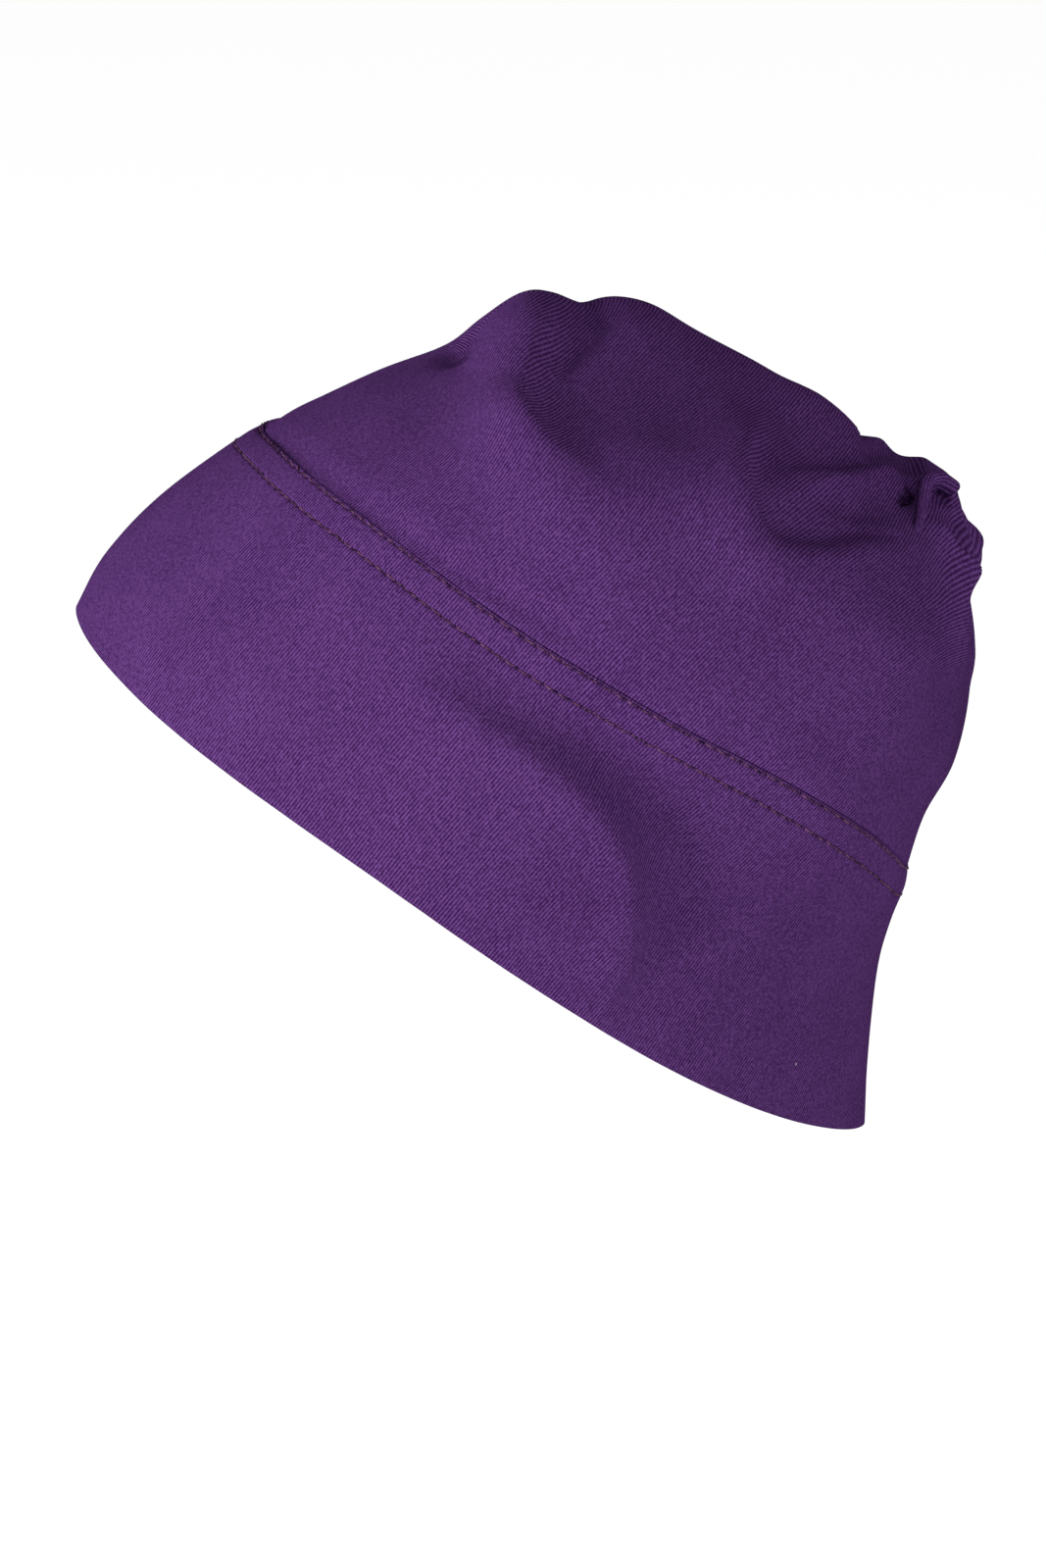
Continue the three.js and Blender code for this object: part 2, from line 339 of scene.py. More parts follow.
FINE_FORMS = (
    Fold(
        "valley behind the ear", SIDE, -3.4, 9, 4, 1,
        ((-17, 49), (-3.5, 41), (12, 32), (26, 22.5), (36, 11), (40, -3), (37, -17)),
    ),
    Fold(
        "edge of the ear", SIDE, 1.8, 2.5, 7, 1,
        ((-21, 47), (4, 29.5), (22, 17.5), (31, 6.5), (34.5, -5), (34, -16), (29, -27), (23, -35)),
        roundness=1.5,
    ),
    Fold(
        "edge of the first crest", SIDE, 2.6, 2.6, 12, 0.5,
        ((21, 129), (17, 120), (13.5, 111), (11.5, 102), (12.5, 94), (18, 88), (28, 83.5)),
        roundness=1.35,
    ),
    Fold(
        "valley before the first crest", SIDE, -1.6, 6.5, 17, 0.5,
        ((-1, 116), (-3, 107), (-2, 97), (3, 87), (11, 79)),
    ),
    Fold(
        "edge of the second crest", SIDE, 2.2, 2.2, 5, 0.5,
        ((63, 101), (59, 92), (56.5, 83), (58, 75), (63, 67)),
        roundness=1.4,
    ),
    Fold(
        "valley by the second crest", SIDE, -1.9, 5, 2.5, 0.5,
        ((69, 97), (64, 90), (62, 82), (65, 75), (71, 71)),
    ),
    Fold(
        "edge of the fold end", SIDE, 0.6, 3, 8, 0.5,
        ((58, 74), (64, 66), (72, 64.5), (82, 67), (92, 70), (99, 71)),
    ),
    Fold(
        "edge of the ledge", SIDE, 1.2, 1.5, 2.5, 0.5,
        ((64, 78.5), (72, 81.5), (82, 84), (92, 84.5), (101, 82.5)),
    ),
    Fold("wedge over the ledge", SIDE, -2.4, 6, 2.4, 0.5, ((66, 88), (74, 88.5), (84, 90), (95, 90.5))),
    Fold("ridge in the pocket", SIDE, 1.2, 1.8, 3.5, 0.5, ((66, 80), (74, 77.5), (83, 75), (93, 74))),
    Patch("deep of the pocket", SIDE, -2.1, (12, 3.8), 6, 2.4, 0.5, (77, 72.5)),
    Fold("crown's back edge", SIDE, 2.0, 5, 10, 0.8, ((97, 56), (93, 46), (90.5, 37), (90, 28), (93, 18))),
    Fold(
        "dip over the seam", SIDE, -1.2, 4, 1.0, 1,
        ((-54, 102.5), (-38, 89), (-22, 76), (-5, 64), (14, 53), (38, 39)),
        28,
        0.2,
    ),
    Patch("hollow before the first crest", TOP, -2.8, (10, 4.5), 0, 2.2, 0, (5, -3)),
    Patch("hollow of the band's back", SIDE, -1.6, (20, 11), -30, 2.4, 1, (58, 12)),
    Fold("streak at the nape", SIDE, -1.0, 3, 5, 0.7, ((32, -1), (51, -9.5), (65, -18), (84, -29))),
    Fold("crease from the top", SIDE, -1.3, 1.6, 5, 0, ((33, 121), (27, 117), (21, 111), (18, 106))),
    Fold("small crease in the pocket", SIDE, -0.8, 1.2, 2, 0, ((77, 73), (82, 73.5), (89.5, 71), (93, 69))),
    Patch("rise of the top", TOP, 1.5, (18, 11), 0, 2.8, 0, (0, 35)),
    Fold("dip of the top", TOP, -1.1, 3, 3, 0, ((-16, 21), (0, 25), (16, 27))),
    Patch("lower first peak", TOP, -1.4, (14, 6), 0, 2.4, 0, (0, 5)),
    Patch("fuller back slope", TOP, 1.6, (14, 8), 0, 2.6, 0, (0, 77.5)),
    Patch("step behind the ledge", TOP, -4.2, (16, 6.2), 0, 7, 0, (0, 91.8)),
    Patch("knot, hole", SIDE, -5, (2.2, 1.2), 40, 4, 0, (93.6, 80.8)),
    Patch("fuller front slope", TOP, 0.6, (30, 14), 0, 2.4, 0, (0, -24)),
    Fold(
        "seam's bulge at the nape", BACK, 0.8, 4, 5, 0,
        ((-30, 3), (-15, -0.5), (0, -1.5), (15, -0.5), (30, 3)),
    ),
    Patch("knot, recess", BACK, -1.6, (5, 4.5), -20, 3, 0.6, (-11, 81)),
    Fold(
        "knot, edge round the recess", BACK, 2.4, 1.6, 3.4, 0.6,
        ((-22, 82.5), (-19.5, 78.3), (-17, 73.3), (-13, 68), (-12, 60)),
        roundness=1.4,
    ),
    Fold("gather line", BACK, -3.2, 2.2, 2.2, 1, ((0, 86), (0, 78), (0.5, 70), (0, 62), (0, 52))),
    Fold("left pleat", BACK, 1.6, 3, 5, 0.9, ((-3, 77), (-9, 72), (-17, 64), (-26, 52), (-32, 40))),
    Fold("left valley", BACK, -1.3, 3, 4, 0.9, ((-2, 80), (-10, 78), (-20, 73), (-31, 64))),
    Fold("upper pleat", BACK, 1.3, 2.5, 4, 0.9, ((-2, 84), (-8, 88), (-15, 90), (-25, 90))),
    Fold("low valley", BACK, -1.1, 3, 4, 0.9, ((-3, 70), (-7, 60), (-12, 48), (-16, 36))),
    Fold("low pleat", BACK, 1.0, 3, 4, 0.9, ((-1.5, 66), (-4, 55), (-7, 42))),
)

TUGS = (
    Tug("full crown under the knot", SIDE, (0, 0, 14), 25, 1, (103, 60)),
    Tug("hole beside the knot", SIDE, (1.6, 0.6, -6), 1.6, 0, (92.6, 79.4)),
    Tug("gap under the knot's lip", SIDE, (-0.5, 1.5, -7), 1.5, 0, (99.4, 80)),
    Tug("gap under the lip's end", SIDE, (-0.5, 1.5, -7), 1.5, 0, (101.6, 80.4)),
)


@dataclass(frozen=True)
class Spread:
    """A grid of places on the cap, with the directions out of it and up along it."""

    point: Array
    outward: Array
    upward: Array


@dataclass(frozen=True)
class CapForm:
    """The cap's outer face: a loft of slanted sections, pushed in and out by its folds.

    The angle runs from the forehead round by the wearer's left, and the height counts
    sections up from the rim.
    """

    sections: tuple[Section, ...]
    forms: tuple[Fold | Patch, ...]
    tugs: tuple[Tug, ...] = ()
    rim_slope: float = 33.6
    fade_from: float = -0.1
    fade_to: float = 0.35
    seam_shift: float = -0.06
    seam_dip: float = -0.12
    seam_dip_at: float = 12.0
    seam_dip_reach: float = 17.0
    seam_rise: float = -0.2
    seam_rise_from: float = 120.0
    seam_rise_to: float = 172.0
    ripple: float = 0.11
    ripple_seed: int = 7
    ripple_lengths: tuple[float, ...] = (13.0, 17.0, 22.0, 29.0, 37.0)

    @cached_property
    def rows(self) -> Array:
        """The sections' numbers, carried on below the rim and past the apex."""
        rows = np.array([section.row for section in self.sections], float)
        below = 2 * rows[0] - rows[1]
        below[ROUNDS] = rows[0, ROUNDS]
        return np.vstack([below, rows, self._beyond(rows[-2]), self._beyond(rows[-3])])

    @staticmethod
    def _beyond(row: Array) -> Array:
        """A row past the apex, down the other side, so the dome closes without a point."""
        front_q, back_q, side_x, side_q = row[: ROUNDS.start]
        return np.array([back_q, front_q, -side_x, side_q, *row[ROUNDS], *row[HEIGHTS][::-1]])

    @cached_property
    def ripples(self) -> Array:
        """One wave vector and phase for each ripple length, drawn with a fixed seed."""
        draw = np.random.default_rng(self.ripple_seed)
        directions = unit(draw.normal(size=(len(self.ripple_lengths), 3)))
        waves = directions * (FULL_TURN / np.array(self.ripple_lengths))[:, None]
        return np.hstack([waves, draw.uniform(0, FULL_TURN, (len(waves), 1))])

    def place(self, x: Array, q: Array, h: Array) -> Array:
        """Sets a point of the slanted axes into the cap's frame.

        Args:
            x: Towards the wearer's left.
            q: Along the opening, to the nape.
            h: Square to the opening, upward.

        Returns:
            The point, with x, y and z in the last axis.
        """
        slope = math.radians(self.rim_slope)
        y = q * math.cos(slope) + h * math.sin(slope)
        z = h * math.cos(slope) - q * math.sin(slope)
        return np.stack([x, y, z], axis=-1)

    def slant(self, point: Array) -> tuple[Array, Array, Array]:
        """Reads a point of the cap's frame in the slanted axes.

        Args:
            point: The point, with x, y and z in the last axis.

        Returns:
            Its x, q and h.
        """
        slope = math.radians(self.rim_slope)
        y, z = point[..., 1], point[..., 2]
        q = y * math.cos(slope) - z * math.sin(slope)
        return point[..., 0], q, y * math.sin(slope) + z * math.cos(slope)

    def plain(self, angle: Array, height: Array) -> Array:
        """The smooth outer face before any fold.

        Args:
            angle: Radians from the forehead round by the wearer's left.
            height: Sections up from the rim.

        Returns:
            Points in millimetres.
        """
        angle, height = np.broadcast_arrays(angle, height)
        height = height - self._seam_shift(angle) * np.exp(-((height - SEAM) ** 2))
        low = np.clip(np.floor(height), 0, APEX - 1).astype(int)
        a, b, c, d = (self.rows[low + step] for step in (0, 1, 2, 3))
        values = catmull_rom(a, b, c, d, (height - low)[..., None])
        sizes = np.moveaxis(values[..., : HEIGHTS.start], -1, 0)
        front_q, back_q, side_x, side_q, front_round, back_round = sizes
        forward = np.cos(angle) >= 0
        power = 2 / np.where(forward, front_round, back_round)
        lengthwise = np.abs(np.cos(angle)) ** power
        sideways = np.sign(np.sin(angle)) * np.abs(np.sin(angle)) ** power
        q = side_q + (np.where(forward, front_q, back_q) - side_q) * lengthwise
        h = self._around(values[..., HEIGHTS], angle)
        return self.place(side_x * sideways, q, h)

    def _seam_shift(self, angle: Array) -> Array:
        """How far the seam wanders along the face: a little at the brow and the nape.

        Args:
            angle: Radians from the forehead round by the wearer's left.

        Returns:
            Sections up, or down where negative.
        """
        turn = np.degrees(np.mod(angle + math.pi, FULL_TURN)) - 180
        brow = np.exp(-(((turn - self.seam_dip_at) / self.seam_dip_reach) ** 2))
        nape = smooth(self.seam_rise_from, self.seam_rise_to, np.abs(turn))
        return self.seam_shift + self.seam_dip * brow + self.seam_rise * nape

    @staticmethod
    def _around(heights: Array, angle: Array) -> Array:
        """The smooth closed curve through heights given from the front to the back.

        Args:
            heights: Heights at even turns from the front to the back, in the last axis.
            angle: Radians from the front.

        Returns:
            The height at each angle.
        """
        last = heights.shape[-1] - 1
        ends = np.ones(last + 1)
        ends[[0, last]] = 0.5
        total = np.zeros(angle.shape)
        for wave in range(last + 1):
            turns = np.cos(math.pi * wave * np.arange(last + 1) / last)
            strength = (heights * ends * turns).sum(axis=-1)
            total += 2 * ends[wave] / last * strength * np.cos(wave * angle)
        return total

    @staticmethod
    def _directions(
        surface: Callable[[Array, Array], Array], angle: Array, height: Array
    ) -> tuple[Array, Array]:
        """The outward and upward directions of a surface, from points close by.

        Args:
            surface: Gives the point at an angle and a height.
            angle: Radians from the forehead round by the wearer's left.
            height: Sections up from the rim.

        Returns:
            The directions out of the surface and up along it.
        """
        level = np.minimum(height, APEX - 1.5 * SMALL_RISE)
        around = surface(angle + SMALL_TURN, level) - surface(angle - SMALL_TURN, level)
        upward = surface(angle, level + SMALL_RISE) - surface(angle, level - SMALL_RISE)
        return unit(np.cross(around, upward)), unit(upward)

    def _relief(self, point: Array, outward: Array, mirrored: bool) -> Array:
        """How far the folds of one side push the cloth out.

        Args:
            point: Points of the plain face, mirrored for the far side.
            outward: The directions out of it, mirrored alike.
            mirrored: True for the far side, where the folds have their far share.

        Returns:
            Millimetres outward, for each point.
        """
        total = np.zeros(point.shape[:-1])
        for view in View:
            across, up, facing = view.axes
            shown = smooth(self.fade_from, self.fade_to, outward @ facing)
            spots = np.stack([point @ across, point @ up], axis=-1)
            for form in self.forms:
                share = form.far_share if mirrored else 1.0
                if form.view is view and share:
                    total += share * shown * form.rise_at(spots)
        return total

    def _rippled(self, point: Array) -> Array:
        """Slight waves from handling, in millimetres."""
        phases = point @ self.ripples[:, :3].T + self.ripples[:, 3]
        return self.ripple * np.sin(phases).mean(axis=-1) * 2

    def face(self, angle: Array, height: Array) -> Array:
        """The cap's outer face, with its folds.

        Args:
            angle: Radians from the forehead round by the wearer's left.
            height: Sections up from the rim.

        Returns:
            Points in millimetres.
        """
        point = self.plain(angle, height)
        outward, _ = self._directions(self.plain, angle, height)
        rise = self._relief(point, outward, mirrored=False)
        rise += self._relief(point * OTHER_SIDE, outward * OTHER_SIDE, mirrored=True)
        rise += self._rippled(point)
        return self._tugged(point + outward * rise[..., None], outward)

    def _tugged(self, point: Array, outward: Array) -> Array:
        """Draws the cloth along where it is tugged.

        Args:
            point: Points of the folded face.
            outward: The directions out of the plain face there.

        Returns:
            The points where the tugs leave them.
        """
        for tug in self.tugs:
            for share, side in ((1.0, np.ones(3)), (tug.far_share, OTHER_SIDE)):
                axes = tug.view.axes * side
                offset = point @ axes[:2].T - np.array(tug.at, float)
                pull = share * np.exp(-((np.linalg.norm(offset, axis=-1) / tug.radius) ** 2))
                pull *= smooth(self.fade_from, self.fade_to, outward @ axes[2])
                point = point + pull[..., None] * (np.array(tug.move) @ axes)
        return point

    def spread(self, angle: Array, height: Array) -> Spread:
        """The outer face with its directions.

        Args:
            angle: Radians from the forehead round by the wearer's left.
            height: Sections up from the rim.

        Returns:
            The points and the directions there.
        """
        angle, height = np.broadcast_arrays(angle, height)
        outward, upward = self._directions(self.face, angle, height)
        return Spread(self.face(angle, height), outward, upward)

    def lengths_up(self, angles: Array, heights: Array) -> Array:
        """Millimetres up the plain face from the first height, for a grid of places."""
        return lengths_along(self.plain(angles[None, :], heights[:, None]))


@dataclass(frozen=True)
class Knit:
    """Where the knit's ribs and courses lie on the cap.

    The ribs stand up the wall and lean to the back as they pass over the top, and they turn
    about the knot at the gather.
    """

    form: CapForm
    rib_pitch: float = 0.73
    course_pitch: float = 0.56
    wall_lean: float = 0.08
    top_lean: float = 0.3
    wall_end: float = 4.6
    top_start: float = 7.0
    middle: float = 12.0
    shoulder_x: float = 66.0
    shoulder_length: float = 115.0
    knot_at: tuple[float, float] = (90.0, 78.0)
    knot_reach: float = 17.0
    knot_turn: tuple[float, float] = (0.3, 0.2)
    turn_steps: int = 121
    level_steps: int = 161

    def coordinates(self, angle: Array, height: Array) -> Array:
        """Counts ribs and courses.

        Args:
            angle: Radians from the forehead, the same shape as height.
            height: Sections up from the rim.

        Returns:
            The rib and the course, in the last axis.
        """
        point = self.form.plain(angle, height)
        x, q, h = self.form.slant(point)
        around, up = self._wall_lengths(angle, height)
        over = np.hypot(x, self.middle)
        lean = self.top_lean * (over - math.hypot(self.shoulder_x, self.middle))
        share = smooth(self.wall_end, self.top_start, height)
        ribs = (1 - share) * (around - self.wall_lean * h) + share * (q + lean)
        courses = (1 - share) * up + share * (self.shoulder_length + self.shoulder_x - over)
        for side in (point, point * OTHER_SIDE):
            offset = side @ SIDE.axes[:2].T - np.array(self.knot_at)
            near = np.exp(-((offset**2).sum(-1)) / self.knot_reach**2) * (side[..., 0] > 0)
            ribs = ribs + offset @ np.array(self.knot_turn) * near
        return np.stack([ribs / self.rib_pitch, courses / self.course_pitch], axis=-1)

    def _wall_lengths(self, angle: Array, height: Array) -> tuple[Array, Array]:
        """Lengths round from the side of the cap and up from its rim.

        Args:
            angle: Radians from the forehead, the same shape as height.
            height: Sections up from the rim.

        Returns:
            The two lengths in millimetres.
        """
        turns = np.linspace(0, math.pi, self.turn_steps)
        levels = np.linspace(0, APEX, self.level_steps)
        around = lengths_along(self.form.plain(turns[:, None], levels[None, :])).T
        around -= around[:, [len(turns) // 2]]
        up = self.form.lengths_up(turns, levels)
        folded = math.pi - np.abs(math.pi - np.mod(angle, FULL_TURN))
        column = folded / math.pi * (len(turns) - 1)
        row = np.clip(height, 0, APEX) / APEX * (len(levels) - 1)
        return self._between(around, row, column), self._between(up, row, column)

    @staticmethod
    def _between(grid: Array, row: Array, column: Array) -> Array:
        """The value of a grid at fractional rows and columns.

        Args:
            grid: Values in rows and columns.
            row: How many rows down.
            column: How many columns to the right.

        Returns:
            One value for each place.
        """
        r = np.minimum(row.astype(int), grid.shape[0] - 2)
        c = np.minimum(column.astype(int), grid.shape[1] - 2)
        down, right = row - r, column - c
        low = grid[r, c] * (1 - right) + grid[r, c + 1] * right
        high = grid[r + 1, c] * (1 - right) + grid[r + 1, c + 1] * right
        return low * (1 - down) + high * down


class Nodes:
    """Adds shader nodes to a material and links them."""

    def __init__(self, owner: Material | bpy.types.World) -> None:
        """Empties the owner's node tree, ready to be filled.

        Args:
            owner: The material or world to work on.
        """
        owner.use_nodes = True
        self.tree = owner.node_tree
        self.tree.nodes.clear()

    def add(self, kind: str, inputs: dict | None = None, **settings: object) -> bpy.types.Node:
        """Adds one node.

        Args:
            kind: The node's type, without the word ShaderNode.
            inputs: A value or an output socket for each named or numbered input.
            settings: Properties of the node itself.

        Returns:
            The new node.
        """
        node = self.tree.nodes.new("ShaderNode" + kind)
        for name, value in settings.items():
            setattr(node, name, value)
        for name, value in (inputs or {}).items():
            if isinstance(value, Socket):
                self.tree.links.new(value, node.inputs[name])
            else:
                node.inputs[name].default_value = value
        return node

    def math(self, operation: str, *values: float | Socket) -> Socket:
        """One sum of numbers or sockets.

        Args:
            operation: The name of the sum, such as ADD.
            values: Its numbers or sockets.

        Returns:
            The result's socket.
        """
        return self.add("Math", dict(enumerate(values)), operation=operation).outputs[0]

    def noise(self, where: Socket, scale: float, detail: float) -> Socket:
        """A soft noise from 0 to 1, so many to the metre."""
        inputs = {"Vector": where, "Scale": scale, "Detail": detail}
        return self.add("TexNoise", inputs).outputs["Fac"]

    def speckled(self, share: Socket, noise: Socket, strength: float) -> Socket:
        """A share made uneven by a noise, as much lighter as darker."""
        return self.math("MULTIPLY_ADD", self.math("SUBTRACT", noise, 0.5), strength, share)

    def mixed(self, share: Socket, first: Colour | Socket, second: Colour) -> Socket:
        """A colour between two others.

        Args:
            share: 0 gives the first colour and 1 the second.
            first: Linear red, green and blue, or a colour's socket.
            second: Linear red, green and blue.

        Returns:
            The colour's socket.
        """
        start = first if isinstance(first, Socket) else (*first, 1.0)
        # Several of this node's inputs have the same name. These are the colour ones.
        inputs = {0: share, 6: start, 7: (*second, 1.0)}
        return self.add("Mix", inputs, data_type="RGBA").outputs[2]

    def split(self, vector: Socket) -> bpy.types.NodeOutputs:
        """The parts of a vector: X, Y and Z."""
        return self.add("SeparateXYZ", {0: vector}).outputs

    def surface(self, settings: dict) -> None:
        """Ends the material in the plain shader, with a value or socket for each input."""
        shader = self.add("BsdfPrincipled", settings)
        self.add("OutputMaterial", {"Surface": shader.outputs["BSDF"]})


@dataclass(frozen=True)
class Jersey:
    """Matt cotton jersey: fine ribs of knitted loops, a little mottled and fuzzy.

    Heights are in metres and scales are so many to the metre.
    """

    name: str
    # The darker colour is painted shade between the loops; the lighter one is the cloth's own.
    painted_groove_shade: Colour = (0.046, 0.012, 0.08)
    loop: Colour = (0.158, 0.062, 0.252)
    fleck: Colour = (0.4, 0.33, 0.44)
    loop_height: float = 0.00022
    loop_slant: float = 1.3
    course_depth: float = 0.09
    fuzz_scale: float = 3000.0
    fuzz_height: float = 0.35
    heather_scale: float = 1500.0
    heather: float = 1.9
    mottle_scale: float = 55.0
    mottle: float = 0.35
    fleck_scale: float = 75.0
    fleck_radius: float = 0.022
    fleck_chance: float = 0.1
    roughness: float = 0.86
    sheen: float = 0.05
    sheen_roughness: float = 0.45
    sheen_tint: Colour = (0.4, 0.15, 0.6)
    uv_name: str = "knit"

    def material(self) -> Material:
        """Builds the cloth's material.

        Returns:
            The material, which reads the ribs and courses from the UV map.
        """
        material = bpy.data.materials.new(self.name)
        nodes = Nodes(material)
        where = nodes.add("TexCoord").outputs["Object"]
        loops = self._loops(nodes)
        fuzz = nodes.noise(where, self.fuzz_scale, detail=1.0)
        height = nodes.math("MULTIPLY_ADD", fuzz, self.fuzz_height, loops)
        bump = nodes.add("Bump", {"Height": height, "Strength": 1.0, "Distance": self.loop_height})
        nodes.surface({
            "Base Color": self._colour(nodes, where, loops),
            "Roughness": self.roughness,
            "Specular IOR Level": 0.0,
            "Sheen Weight": self.sheen,
            "Sheen Roughness": self.sheen_roughness,
            "Sheen Tint": (*self.sheen_tint, 1.0),
            "Normal": bump.outputs["Normal"],
        })
        return material

    def _loops(self, nodes: Nodes) -> Socket:
        """The height of the knit.

        Args:
            nodes: Where the nodes are added.

        Returns:
            The height, from 0 in the grooves to 1 on the loops.
        """
        count = nodes.split(nodes.add("UVMap", uv_map=self.uv_name).outputs["UV"])
        turn = nodes.math("MULTIPLY", count["X"], FULL_TURN)
        rib = nodes.math("MULTIPLY_ADD", nodes.math("COSINE", turn), -0.5, 0.5)
        slant = nodes.math("ABSOLUTE", nodes.math("SUBTRACT", nodes.math("FRACT", count["X"]), 0.5))
        course = nodes.math("MULTIPLY_ADD", slant, self.loop_slant, count["Y"])
        wave = nodes.math("SINE", nodes.math("MULTIPLY", course, FULL_TURN))
        depth = nodes.math("MULTIPLY_ADD", wave, self.course_depth, 1 - self.course_depth)
        return nodes.math("MULTIPLY", rib, depth)

    def _colour(self, nodes: Nodes, where: Socket, loops: Socket) -> Socket:
        """Painted shade in the grooves between the loops, heather mottling and a few flecks.

        Args:
            nodes: Where the nodes are added.
            where: The place on the cap.
            loops: The height of the knit.

        Returns:
            The colour's socket.
        """
        fine = nodes.noise(where, self.heather_scale, detail=2.0)
        broad = nodes.noise(where, self.mottle_scale, detail=3.0)
        share = nodes.speckled(nodes.speckled(loops, fine, self.heather), broad, self.mottle)
        # The cloth darkens towards the painted shade of the grooves where the knit is low.
        cloth = nodes.mixed(share, self.painted_groove_shade, self.loop)
        cells = nodes.add("TexVoronoi", {"Vector": where, "Scale": self.fleck_scale}).outputs
        close = nodes.math("LESS_THAN", cells["Distance"], self.fleck_radius)
        chance = nodes.split(cells["Color"])["X"]
        chosen = nodes.math("GREATER_THAN", chance, 1 - self.fleck_chance)
        return nodes.mixed(nodes.math("MULTIPLY", close, chosen), cloth, self.fleck)


@dataclass(frozen=True)
class Thread:
    """Two-ply sewing thread with a slight lustre, darkened with painted shade in dashes along it and where
    its plies meet.
    """

    name: str
    # The dark colour is painted shade: dashes along the thread and the crevices between its plies.
    painted_shade: Colour = (0.01, 0.002, 0.012)
    ply: Colour = (0.26, 0.1, 0.2)
    ply_height: float = 0.00005
    ply_depth: float = 0.8
    ply_shade: float = 0.35
    dash_scale: float = 700.0
    dash_contrast: float = 2.2
    dash_start: float = -0.9
    roughness: float = 0.5
    lustre: float = 0.12
    uv_name: str = "thread"

    def material(self) -> Material:
        """Builds the thread's material, with painted shade where the plies meet and in dashes along it.

        Returns:
            The material, which reads the turn and the length from the UV map.
        """
        material = bpy.data.materials.new(self.name)
        nodes = Nodes(material)
        count = nodes.split(nodes.add("UVMap", uv_map=self.uv_name).outputs["UV"])
        twist = nodes.math("MULTIPLY", nodes.math("ADD", count["X"], count["Y"]), FULL_TURN)
        ply = nodes.math("MULTIPLY_ADD", nodes.math("COSINE", twist), 0.5, 0.5)
        settings = {"Height": ply, "Strength": self.ply_depth, "Distance": self.ply_height}
        bump = nodes.add("Bump", settings)
        where = nodes.add("TexCoord").outputs["Object"]
        # A noise paints dashes of shade along the thread, with the thread's own colour between them.
        uneven = nodes.noise(where, self.dash_scale, detail=2.0)
        shade_dashes = nodes.math("MULTIPLY_ADD", uneven, self.dash_contrast, self.dash_start)
        share = nodes.math("MULTIPLY_ADD", ply, self.ply_shade, shade_dashes)
        nodes.surface({
            "Base Color": nodes.mixed(share, self.painted_shade, self.ply),
            "Roughness": self.roughness,
            "Specular IOR Level": self.lustre,
            "Normal": bump.outputs["Normal"],
        })
        return material


@dataclass
class Shell:
    """A closed mesh through rings of points, with two numbers at each point for its UV map.

    Where poles are given, the rings run from one pole to the other, such as over a dome and
    its lining. Otherwise the last ring joins the first.
    """

    rings: Array
    marks: Array
    uv_name: str
    poles: tuple[Array, Array] | None = None

    def build(self, name: str, material: Material) -> Piece:
        """Makes the mesh object.

        Args:
            name: The piece's name.
            material: What it is made of.

        Returns:
            The new object, in metres.
        """
        rows, columns = self.rings.shape[:2]
        points = self.rings.reshape(-1, 3)
        marks = self.marks.reshape(-1, 2)
        bands = rows - (1 if self.poles is not None else 0)
        r, c = np.meshgrid(np.arange(bands), np.arange(columns), indexing="ij")
        right, above = (c + 1) % columns, (r + 1) % rows
        corners = ((r, c), (r, right), (above, right), (above, c))
        faces = np.stack([row * columns + column for row, column in corners], axis=-1)
        faces = faces.reshape(-1, 4).tolist()
        if self.poles is not None:
            points = np.vstack([points, self.poles])
            marks = np.vstack([marks, marks[[0, -1]]])
            ring = np.arange(columns)
            after = (ring + 1) % columns
            start = np.full(columns, rows * columns)
            last = (rows - 1) * columns
            faces += np.stack([start, after, ring], axis=-1).tolist()
            faces += np.stack([start + 1, last + ring, last + after], axis=-1).tolist()
        return make_mesh(name, points * MM, faces, marks, self.uv_name, material)


def make_mesh(
    name: str,
    points: Array,
    faces: list[list[int]],
    marks: Array,
    uv_name: str,
    material: Material,
) -> Piece:
    """Makes a smooth-shaded mesh object.

    Args:
        name: The object's name.
        points: Its vertices, in metres.
        faces: The vertices of each face.
        marks: Two numbers for each vertex, kept in the UV map.
        uv_name: The UV map's name.
        material: What it is made of.

    Returns:
        The new object, linked to the scene.
    """
    mesh = bpy.data.meshes.new(name)
    mesh.from_pydata(points.tolist(), [], faces)
    corners = np.empty(len(mesh.loops), dtype=np.int32)
    mesh.loops.foreach_get("vertex_index", corners)
    layer = mesh.uv_layers.new(name=uv_name)
    layer.data.foreach_set("uv", marks[corners].astype(np.float32).ravel())
    mesh.shade_smooth()
    mesh.materials.append(material)
    piece = bpy.data.objects.new(name, mesh)
    bpy.context.scene.collection.objects.link(piece)
    return piece


